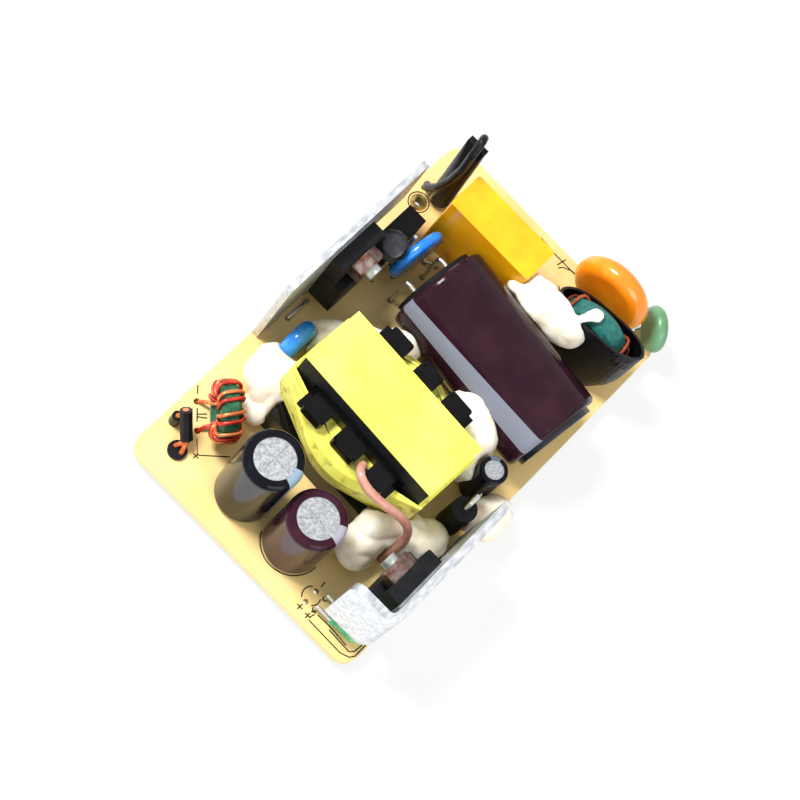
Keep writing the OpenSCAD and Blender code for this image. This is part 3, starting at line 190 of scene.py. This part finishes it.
def dress(material, *names):
    """Gives these CAD nodes the material, in every slot that they have."""
    for name in names:
        slots = nodes[name].data.materials
        slots.clear()
        slots.append(material)


def part_of(material, kind):
    """The first node of a kind in a material, to be re-linked or tuned."""
    return next(n for n in material.node_tree.nodes if n.bl_idname == kind)


# %% [markdown]
# ## Metals
# The heatsinks are rolled aluminium sheet, left bare: rolling leaves faint lines along the
# sheet, and the shears leave the cut edges rough. Leads are copper wire dipped in tin, and
# solder is the same tin drawn into shiny cones.

# %% Rolled sheet, tinned wire, solder, screws and nuts
rolled_aluminium = finish(
    "rolled_aluminium", "#B2B6BA", "#DADCDF", 0.7, 0.38, 0.46, 0.3, 0.003, Metallic=0.9
)
stretch = add_node(
    rolled_aluminium,
    "ShaderNodeMapping",
    {"Scale": (1.0, 0.35, 1.0)},
    {"Vector": part_of(rolled_aluminium, "ShaderNodeTexCoord").outputs["Object"]},
)
for texture in rolled_aluminium.node_tree.nodes:
    if texture.bl_idname == "ShaderNodeTexNoise":
        rolled_aluminium.node_tree.links.new(stretch.outputs["Vector"], texture.inputs["Vector"])
tinned_wire = finish("tinned_wire", "#C4C7CB", "#DADCDF", 1.5, 0.22, 0.36, 0.4, 0.004, Metallic=1.0)
shiny_solder = finish("shiny_solder", "#BFC2C6", "#D8DADC", 0.9, 0.16, 0.32, 0.5, 0.02, Metallic=1.0)
plated_screw = finish("plated_screw", "#AEB4B4", "#D2D6D2", 0.8, 0.25, 0.4, 0.3, 0.01, Metallic=1.0)
passivated_nut = finish(
    "passivated_nut", "#6B4234", "#8A827E", 1.3, 0.3, 0.45, 0.3, 0.008, Metallic=0.9
)
flat_brass = finish("flat_brass", "#B79B58", "#D8C17C", 0.7, 0.3, 0.45, 0.3, 0.006, Metallic=1.0)
can_aluminium = finish("can_aluminium", "#8E9094", "#B4B6B9", 0.4, 0.4, 0.55, 0.2, 0.008, Metallic=0.75)
dress(rolled_aluminium, "primary_heatsink", "secondary_heatsink")
dress(
    tinned_wire,
    "semiconductor_leads",
    "transformer_pins",
    "capacitor_leads",
    "radial_leads",
    "fuse_leads",
    "indicator_lamp_leads",
    "jumper_wires",
)
dress(shiny_solder, "solder_joints")
dress(plated_screw, "clamp_screws")
dress(passivated_nut, "clamp_nuts")
dress(flat_brass, "mains_eyelet")
dress(
    can_aluminium,
    "bulk_capacitor_can",
    "output_capacitor_can",
    "filter_capacitor_can",
    "supply_capacitor_can",
)
print("metals dressed")

# %% [markdown]
# ## Moulded plastics, rubber and ferrite
# Power packages are epoxy filled with glass, which moulds to a dull black with a fine grain.
# The bobbin is a glossy phenolic. Bungs are matt rubber, and ferrite is a fired grey-black
# ceramic.

# %% Black parts
# Dark plastics mirror little of the white room, so their specular level is low.
DULL = {"Specular IOR Level": 0.16}
moulded_epoxy = finish("moulded_epoxy", "#0E0F11", "#191A1D", 2.5, 0.4, 0.55, 0.12, 0.006, **DULL)
glossy_phenolic = finish("glossy_phenolic", "#030304", "#0B0B0D", 3.0, 0.12, 0.22, 0.8, 0.005, **DULL)
fired_ferrite = finish("fired_ferrite", "#17181A", "#26272A", 1.0, 0.45, 0.6, 0.2, 0.01, **DULL)
soft_rubber = finish("soft_rubber", "#101012", "#1A1A1C", 1.5, 0.6, 0.75, 0.3, 0.008, **DULL)
heat_pad = finish("heat_pad", "#6A6D70", "#85888B", 2.0, 0.6, 0.75, 0.3, 0.008, **DULL)
shrunk_tube = finish("shrunk_tube", "#0B0B0E", "#17171C", 2.2, 0.3, 0.42, 0.7, 0.02, **DULL)
coated_thermistor = finish("coated_thermistor", "#17191F", "#23262E", 1.2, 0.25, 0.4, 0.3, 0.01)
dress(moulded_epoxy, "power_transistor", "output_rectifier", "bridge_rectifier", "snubber_diode")
dress(glossy_phenolic, "transformer_bobbin")
dress(fired_ferrite, "transformer_core_upper", "transformer_core_lower")
dress(
    soft_rubber,
    "bulk_capacitor_bung",
    "output_capacitor_bung",
    "filter_capacitor_bung",
    "supply_capacitor_bung",
)
dress(heat_pad, "thermal_pads")
dress(shrunk_tube, "common_mode_sleeve", "fuse", "fuse_lead_sleeve", "output_stub_sleeves")
dress(coated_thermistor, "thermistor", "bulk_capacitor_disc")

# %% [markdown]
# ## Shrunk sleeves
# Each electrolytic capacitor wears a thin PVC tube that was shrunk on with heat. It is smooth
# and glossy, and it wrinkles a little where it turns over the rim.

# %% Capacitor sleeves
GLOSSY = {"Specular IOR Level": 0.2, "IOR": 1.36}
maroon_sleeve = finish("maroon_sleeve", "#24101A", "#301822", 5.0, 0.1, 0.16, 4.0, 0.02, **GLOSSY)
ink_sleeve = finish("ink_sleeve", "#07080F", "#11121A", 4.0, 0.1, 0.18, 3.0, 0.02, **GLOSSY)
plain_ink_sleeve = finish("plain_ink_sleeve", "#07080F", "#11121A", 4.0, 0.1, 0.18, 3.0, 0.02, **GLOSSY)
plum_sleeve = finish("plum_sleeve", "#2C0F1B", "#3A1C28", 4.0, 0.1, 0.18, 3.0, 0.02, **GLOSSY)
dress(maroon_sleeve, "bulk_capacitor_sleeve")
dress(ink_sleeve, "output_capacitor_sleeve")
dress(plain_ink_sleeve, "supply_capacitor_sleeve")
dress(plum_sleeve, "filter_capacitor_sleeve")

# %% [markdown]
# A pale stripe marks the negative lead on the upright cans. On the lying bulk can the bluish-grey
# stripe is no mark but a painted reflection of a long lamp along its near side. A radial gradient
# round the can's axis gives the angle of each place on the sleeve, and a ramp with hard stops turns
# a range of it into the stripe.


# %% Negative stripes, and a painted reflection on the bulk can
def add_stripe(material, node, turn_degrees, first, last, colour):
    """Paints a stripe from one angle to another, in degrees round the axis of a node's can."""
    low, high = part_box(node)
    place = part_of(material, "ShaderNodeTexCoord").outputs["Object"]
    centred = add_node(
        material, "ShaderNodeMapping", {"Location": tuple(-(low + high) / 2)}, {"Vector": place}
    )
    turned = add_node(
        material,
        "ShaderNodeMapping",
        {"Rotation": tuple(math.radians(angle) for angle in turn_degrees)},
        {"Vector": centred.outputs["Vector"]},
    )
    round_axis = add_node(
        material, "ShaderNodeTexGradient", {"gradient_type": "RADIAL"}, {"Vector": turned.outputs["Vector"]}
    )
    stripe = add_node(material, "ShaderNodeValToRGB", None, {"Fac": round_axis.outputs["Fac"]})
    ramp = stripe.color_ramp
    ramp.interpolation = "CONSTANT"
    ramp.elements[0].color = (0, 0, 0, 1)
    ramp.elements[1].position = (first + 180) / 360
    ramp.elements[1].color = (1, 1, 1, 1)
    ramp.elements.new((last + 180) / 360).color = (0, 0, 0, 1)
    mixed = add_node(
        material,
        "ShaderNodeMix",
        {"data_type": "RGBA", 7: linear(colour)},
        {0: stripe.outputs["Color"], 6: part_of(material, "ShaderNodeValToRGB").outputs["Color"]},
    )
    shader = part_of(material, "ShaderNodeBsdfPrincipled")
    material.node_tree.links.new(mixed.outputs[2], shader.inputs["Base Color"])


BULK_TURN = 7  # degrees by which the lying can is turned on the board
add_stripe(ink_sleeve, "output_capacitor_sleeve", (0, 0, 0), -18, 22, "#8296A6")
add_stripe(plum_sleeve, "filter_capacitor_sleeve", (0, 0, 0), -10, 30, "#9A96A2")
add_stripe(plain_ink_sleeve, "supply_capacitor_sleeve", (0, 0, 0), 100, 150, "#59606C")
# On the bulk can this bluish-grey band is a painted reflection of a lamp, not a negative stripe.
add_stripe(maroon_sleeve, "bulk_capacitor_sleeve", (0, -90, BULK_TURN), -124, -102, "#7C808E")

# %% [markdown]
# ## Coated and cased parts
# Disc capacitors and the varistor are dipped in epoxy paint, which dries smooth with a soft
# swell. The film capacitor is potted in a glossy yellow case.

# %% Bright coats
yellow_case = finish("yellow_case", "#F0A30A", "#F8B812", 5.0, 0.14, 0.22, 1.2, 0.006, IOR=1.5)
orange_coat = finish("orange_coat", "#E87D0C", "#F29A1C", 6.0, 0.14, 0.22, 2.5, 0.03, IOR=1.55)
blue_coat = finish("blue_coat", "#1573D8", "#2C90EE", 3.0, 0.16, 0.26, 1.6, 0.02, IOR=1.55)
sage_coat = finish("sage_coat", "#56875F", "#6C9A73", 3.0, 0.3, 0.42, 1.2, 0.02, IOR=1.5)
teal_core = finish("teal_core", "#12564F", "#1E6F68", 0.8, 0.3, 0.5, 0.25, 0.02, IOR=1.5)
green_core = finish("green_core", "#14492F", "#1F6243", 0.9, 0.3, 0.45, 0.3, 0.02, IOR=1.5)
red_enamel = finish("red_enamel", "#B01812", "#D23A26", 1.4, 0.16, 0.28, 0.6, 0.006, Metallic=0.35)
copper_enamel = finish("copper_enamel", "#C75C2C", "#E58A52", 1.6, 0.16, 0.28, 0.6, 0.006, Metallic=0.5)
dark_enamel = finish("dark_enamel", "#8F3D22", "#B5603A", 1.4, 0.16, 0.28, 0.6, 0.006, Metallic=0.5)
winding_copper = finish("winding_copper", "#B06A38", "#CC8A50", 0.6, 0.3, 0.45, 0.4, 0.05, Metallic=0.8)
dress(yellow_case, "film_capacitor")
dress(orange_coat, "varistor")
dress(blue_coat, "disc_capacitor", "bypass_capacitor")
dress(sage_coat, "safety_capacitor")
dress(teal_core, "common_mode_core")
dress(green_core, "output_choke_core")
dress(red_enamel, "output_choke_red_wire", "flying_lead_wire")
dress(copper_enamel, "output_choke_copper_wire", "output_stubs")
dress(dark_enamel, "common_mode_windings")
dress(winding_copper, "transformer_winding")

# %% [markdown]
# ## Tape, clear sleeve, lamp and silicone
# The transformer is bound with yellow polyester tape, which creases where it rounds the winding;
# the band's darker olive streaks are painted shade of those creases.
# Light goes a little way into silicone, so it gets some subsurface scatter. The lamp's epoxy and
# the lead's sleeve let light through.

# %% Tape, lamp, sleeve and silicone
polyester_tape = finish("polyester_tape", "#F3EE52", "#FBF770", 9.0, 0.2, 0.3, 3.5, 0.03, IOR=1.5)
tinted_epoxy = finish(
    "tinted_epoxy",
    "#35C987",
    "#7FE6B4",
    2.0,
    0.1,
    0.16,
    1.0,
    0.004,
    IOR=1.55,
    **{"Transmission Weight": 0.55},
)
clear_sleeve = finish(
    "clear_sleeve", "#E9A58E", "#F3C3B0", 2.0, 0.1, 0.18, 1.0, 0.004, IOR=1.4, **{"Transmission Weight": 0.45}
)
set_silicone = finish(
    "set_silicone",
    "#EBDCC2",
    "#FBF7E9",
    2.6,
    0.3,
    0.5,
    0.9,
    0.08,
    IOR=1.41,
    **{
        "Subsurface Weight": 0.35,
        "Subsurface Radius": (0.003, 0.0025, 0.0018),
        "Subsurface Scale": 1.0,
    },
)
# The band's darker olive patches are painted shade in the tape's creases, not a colour of the tape.
tape_with_painted_fold_shade = finish("tape_with_painted_fold_shade", "#A39E38", "#F6F169", 2.4, 0.2, 0.32, 2.0, 0.04, IOR=1.5)
fold_shade_stops = part_of(tape_with_painted_fold_shade, "ShaderNodeValToRGB").color_ramp.elements
fold_shade_stops[0].position = 0.3
fold_shade_stops[1].position = 0.44
dress(polyester_tape, "transformer_core_tape")
dress(tape_with_painted_fold_shade, "transformer_band")
dress(tinted_epoxy, "indicator_lamp")
dress(clear_sleeve, "flying_lead_sleeve")

# %% [markdown]
# ## Silicone with lobes and dimples
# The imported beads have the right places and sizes. Real silicone is squeezed on in dabs that
# slump into each other. So the beads are remeshed finely and pushed in and out along their
# normals by two noises: a slow one for the dabs and a quick one for dimples and tails.


# %% Dabs of silicone
def copy_of(node, name):
    """A new object with a welded copy of a CAD node's mesh."""
    mesh = nodes[node].data.copy()
    mesh.name = name
    copied = bpy.data.objects.new(name, mesh)
    copied.matrix_world = nodes[node].matrix_world.copy()
    bpy.context.scene.collection.objects.link(copied)
    work = bmesh.new()
    work.from_mesh(mesh)
    bmesh.ops.remove_doubles(work, verts=work.verts, dist=0.002 * MM)
    work.to_mesh(mesh)
    work.free()
    return copied


def apply_modifiers(piece):
    """Replaces a piece's mesh by the result of its modifiers."""
    bpy.context.view_layer.update()
    seen_mesh = piece.evaluated_get(bpy.context.evaluated_depsgraph_get())
    made = bpy.data.meshes.new_from_object(seen_mesh)
    piece.modifiers.clear()
    piece.data = made
    for face in made.polygons:
        face.use_smooth = True


def stand_for(piece, material, slot, *replaced):
    """Dresses a piece, attaches it to the root body and hides the nodes that it stands for."""
    piece.data.materials.clear()
    piece.data.materials.append(material)
    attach(piece, "root")
    if replaced:
        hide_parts(*replaced)


VOXEL = 0.32
DAB_SIZE = 5.5
DAB_HEIGHT = 1.1
DIMPLE_SIZE = 2.2
DIMPLE_HEIGHT = 0.12
DIMPLE_SHIFT = Vector((7, 3, 5))
MOST_OUTWARD = 0.25
CREASE = 0.6  # the lower, the sharper the valleys between two dabs
dabs = copy_of("silicone_beads", "silicone_dabs")
remesh = dabs.modifiers.new("remesh", "REMESH")
remesh.mode = "VOXEL"
remesh.voxel_size = VOXEL * MM
soften = dabs.modifiers.new("soften", "SMOOTH")
soften.factor = 0.6
soften.iterations = 6
apply_modifiers(dabs)
normals = [vertex.normal.copy() for vertex in dabs.data.vertices]
for vertex, normal in zip(dabs.data.vertices, normals):
    spot = vertex.co / MM
    slow = noise.noise(spot / DAB_SIZE)
    quick = noise.noise(spot / DIMPLE_SIZE + DIMPLE_SHIFT)
    swell = DAB_HEIGHT * (abs(slow) ** CREASE - 0.5)
    vertex.co += normal * min(swell + DIMPLE_HEIGHT * quick, MOST_OUTWARD) * MM
relax = dabs.modifiers.new("relax", "SMOOTH")
relax.factor = 0.5
relax.iterations = 9
apply_modifiers(dabs)
stand_for(dabs, set_silicone, "silicone", "silicone_beads")
print("silicone", len(dabs.data.polygons), "faces")

# %% [markdown]
# ## Rounder wires
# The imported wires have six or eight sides. Subdivision rounds them, and it also draws them in a
# little, so each wire is then pushed out by about what it lost.


# %% Wound and loose wires
FLATTEST_JOIN = 0.7  # radians between two triangles that still join into one square face
SQUAREST_JOIN = 0.9  # radians by which its corners may differ from a right angle


def rounded_wire(node, material, slot, shrinkage_mm):
    """A smooth stand-in for a wire node, grown back by what subdivision takes."""
    wire = copy_of(node, node + "_smooth")
    work = bmesh.new()
    work.from_mesh(wire.data)
    bmesh.ops.join_triangles(
        work,
        faces=work.faces,
        angle_face_threshold=FLATTEST_JOIN,
        angle_shape_threshold=SQUAREST_JOIN,
    )
    work.to_mesh(wire.data)
    work.free()
    subdivide = wire.modifiers.new("subdivide", "SUBSURF")
    subdivide.levels = 1
    subdivide.render_levels = 1
    apply_modifiers(wire)
    for vertex in wire.data.vertices:
        vertex.co += vertex.normal * shrinkage_mm * MM
    stand_for(wire, material, slot, node)


for node, material, slot, shrinkage in (
    ("output_choke_red_wire", red_enamel, "red_enamel", 0.05),
    ("output_choke_copper_wire", copper_enamel, "copper_enamel", 0.05),
    ("common_mode_windings", dark_enamel, "red_enamel", 0.05),
    ("flying_lead_wire", red_enamel, "pink_wire", 0.03),
    ("flying_lead_sleeve", clear_sleeve, "clear_sleeve", 0.04),
    ("fuse_lead_sleeve", shrunk_tube, "heat_shrink", 0.04),
):
    rounded_wire(node, material, slot, shrinkage)
print("rounded six wires")

# %% [markdown]
# ## Printed legend
# The board's top carries outlines of the parts and plus and minus marks in black ink. They are
# flat ribbons that lie just above the laminate. Places are in millimetres on the board.

# %% Ink and ribbons
INK_LIFT = 0.012
INK_WIDTH = 0.22
black_ink = finish("black_ink", "#17160F", "#2A281E", 2.0, 0.5, 0.6, 0.3, 0.001, **DULL)


def ribbon(points, closed=False):
    """The corners and faces of a flat ribbon through these places on the board's top."""
    corners = []
    count = len(points)
    for i, point in enumerate(points):
        before = points[(i - 1) % count] if closed or i else point
        after = points[(i + 1) % count] if closed or i < count - 1 else point
        along = Vector((after[0] - before[0], after[1] - before[1])).normalized()
        across = Vector((-along.y, along.x)) * INK_WIDTH / 2
        for side in (-1, 1):
            x = (point[0] + side * across.x) * MM
            y = (point[1] + side * across.y) * MM
            corners.append((x, y, BOARD_TOP + INK_LIFT * MM))
    last = count if closed else count - 1
    faces = []
    for i in range(last):
        j = (i + 1) % count
        faces.append((2 * i, 2 * j, 2 * j + 1, 2 * i + 1))
    return corners, faces


def arc(centre, radius, first, last, steps=20):
    """Places along an arc, with angles in degrees."""
    return [
        (
            centre[0] + radius * math.cos(math.radians(first + (last - first) * i / steps)),
            centre[1] + radius * math.sin(math.radians(first + (last - first) * i / steps)),
        )
        for i in range(steps + 1)
    ]


def plus_mark(x, y, arm=0.6):
    """The two strokes of a plus sign."""
    return [[(x - arm, y), (x + arm, y)], [(x, y - arm), (x, y + arm)]]


lamp_outline = [
    [(15.2, -40.1), (22.5, -40.2), (24.1, -39.6), (24.6, -38.8), (24.6, -36.1)],
    [(18.7, -38.8), (23.4, -39), (24, -38.3), (24.2, -36.3)],
    [(15, -39.8), (15.2, -39), (15.3, -38.4), (14.5, -38.8)],
    [(15.7, -38.4), (18.5, -38.3), (22.4, -38.6)],
]
lamp_marks = [
    arc((13, -36.9), 1.75, 130, 230),
    arc((12.7, -36.9), 1.7, -45, 25),
    [(12.9, -34.7), (12.8, -33.5)],
    *plus_mark(12.7, -39.6),
    *plus_mark(14.6, -39.7),
]
capacitor_ring = [arc((4.6, -32.9), 5.4, 205, 360)]
choke_outline = [
    [(-24.6, -25.4), (-23.6, -26.5)],
    [(-21.9, -28.3), (-20.3, -30)],
    [(-18.3, -32.1), (-16.3, -34), (-12.5, -30.2)],
    [(-21.2, -29.1), (-20.1, -27.8)],
    [(-20.9, -29.4), (-19.6, -28.3)],
    *plus_mark(-16.4, -34.3),
]
varistor_outline = [
    [(-2.9, 40), (1, 39.7), (6.3, 39.7)],
    [(2.9, 38.2), (3.4, 39), (5, 39.8), (6.3, 39.7)],
    [(2.4, 38.5), (2.8, 40.5)],
    [(5.2, 35.8), (6.5, 34.7)],
]
rings = [arc((-19.2, -35.9), 1.5, 0, 360, 28), arc((-22, 27.6), 1.9, 0, 360, 28)]
legend_corners = []
legend_faces = []
for stroke in lamp_outline + lamp_marks + capacitor_ring + choke_outline + varistor_outline + rings:
    corners, faces = ribbon(stroke)
    start = len(legend_corners)
    legend_corners += corners
    legend_faces += [tuple(start + corner for corner in face) for face in faces]
legend_mesh = bpy.data.meshes.new("board_legend")
legend_mesh.from_pydata(legend_corners, [], legend_faces)
legend = bpy.data.objects.new("board_legend", legend_mesh)
bpy.context.scene.collection.objects.link(legend)
stand_for(legend, black_ink, "board")

# %% [markdown]
# ## Circuit board
# The board is a pale paper laminate, bare on top, with a green solder resist underneath. The
# same material serves both sides: the way a face points decides which of the two shows.

# %% Laminate and solder resist
laminate = finish("laminate", "#E2C27C", "#EDD291", 9.0, 0.34, 0.46, 0.35, 0.01, IOR=1.52)
facing = add_node(laminate, "ShaderNodeNewGeometry")
upright_part = add_node(laminate, "ShaderNodeSeparateXYZ", None, {"Vector": facing.outputs["Normal"]})
downward = add_node(
    laminate, "ShaderNodeMath", {"operation": "LESS_THAN", 1: -0.5}, {0: upright_part.outputs["Z"]}
)
resist_mix = add_node(
    laminate,
    "ShaderNodeMix",
    {"data_type": "RGBA", 7: linear("#2E6B3A")},
    {0: downward.outputs["Value"], 6: part_of(laminate, "ShaderNodeValToRGB").outputs["Color"]},
)
laminate.node_tree.links.new(
    resist_mix.outputs[2], part_of(laminate, "ShaderNodeBsdfPrincipled").inputs["Base Color"]
)
dress(laminate, "circuit_board")

# %% [markdown]
# ## Floor, room and lamps
# A pale floor catches the shadow. The room is plain white where the camera or a reflection
# sees it, and dimmer as a light, so that two soft lamps can shape the parts.

# %% Floor
floor_mesh = bpy.data.meshes.new("floor")
floor_size = 3.0
floor_mesh.from_pydata(
    [(x * floor_size, y * floor_size, 0) for x, y in ((-1, -1), (1, -1), (1, 1), (-1, 1))],
    [],
    [(0, 1, 2, 3)],
)
floor = bpy.data.objects.new("floor", floor_mesh)
floor.location.z = cad_low.z - 0.02 * MM
bpy.context.scene.collection.objects.link(floor)
floor_paint = bpy.data.materials.new("floor_paint")
floor_paint.use_nodes = True
floor_paint.node_tree.nodes.clear()
seen = add_node(floor_paint, "ShaderNodeLightPath")
matt = add_node(floor_paint, "ShaderNodeBsdfDiffuse", {"Color": linear("#F4F4F4")})
glow = add_node(floor_paint, "ShaderNodeEmission", {"Color": linear("#FFFFFF"), "Strength": 1.0})
share = add_node(
    floor_paint, "ShaderNodeMath", {"operation": "MULTIPLY", 1: 0.8}, {0: seen.outputs["Is Camera Ray"]}
)
floor_mix = add_node(
    floor_paint,
    "ShaderNodeMixShader",
    None,
    {0: share.outputs["Value"], 1: matt.outputs["BSDF"], 2: glow.outputs["Emission"]},
)
add_node(floor_paint, "ShaderNodeOutputMaterial", None, {"Surface": floor_mix.outputs["Shader"]})
floor_mesh.materials.append(floor_paint)

# %% Room light
AMBIENT = 0.5
world = bpy.data.worlds.new("room")
world.use_nodes = True
world.node_tree.nodes.clear()
path_kind = add_node(world, "ShaderNodeLightPath")
mirrored = add_node(
    world,
    "ShaderNodeMath",
    {"operation": "MAXIMUM"},
    {0: path_kind.outputs["Is Camera Ray"], 1: path_kind.outputs["Is Glossy Ray"]},
)
through = add_node(
    world,
    "ShaderNodeMath",
    {"operation": "MAXIMUM"},
    {0: mirrored.outputs["Value"], 1: path_kind.outputs["Is Transmission Ray"]},
)
level = add_node(
    world, "ShaderNodeMapRange", {"To Min": AMBIENT, "To Max": 1.0}, {"Value": through.outputs["Value"]}
)
sky = add_node(world, "ShaderNodeBackground", None, {"Strength": level.outputs["Result"]})
sky.inputs["Color"].default_value = linear("#FFFFFF")
add_node(world, "ShaderNodeOutputWorld", None, {"Surface": sky.outputs["Background"]})
bpy.context.scene.world = world


# %% Lamps
def soft_lamp(name, at_mm, size_mm, watts):
    """A square lamp that faces the middle of the board."""
    data = bpy.data.lights.new(name, "AREA")
    data.size = size_mm * MM
    data.energy = watts
    lamp = bpy.data.objects.new(name, data)
    lamp.location = Vector(at_mm) * MM
    lamp.rotation_euler = (-lamp.location).to_track_quat("-Z", "Y").to_euler()
    bpy.context.scene.collection.objects.link(lamp)
    return lamp


soft_lamp("key_lamp", (-260, -60, 420), 130, 3.3)
soft_lamp("fill_lamp", (300, -180, 300), 260, 1.0)

# %% [markdown]
# ## Finish
# The view transform stays plain, so a colour renders as it is written.

# %% Keep the view transform plain
bpy.context.scene.view_settings.view_transform = "Standard"
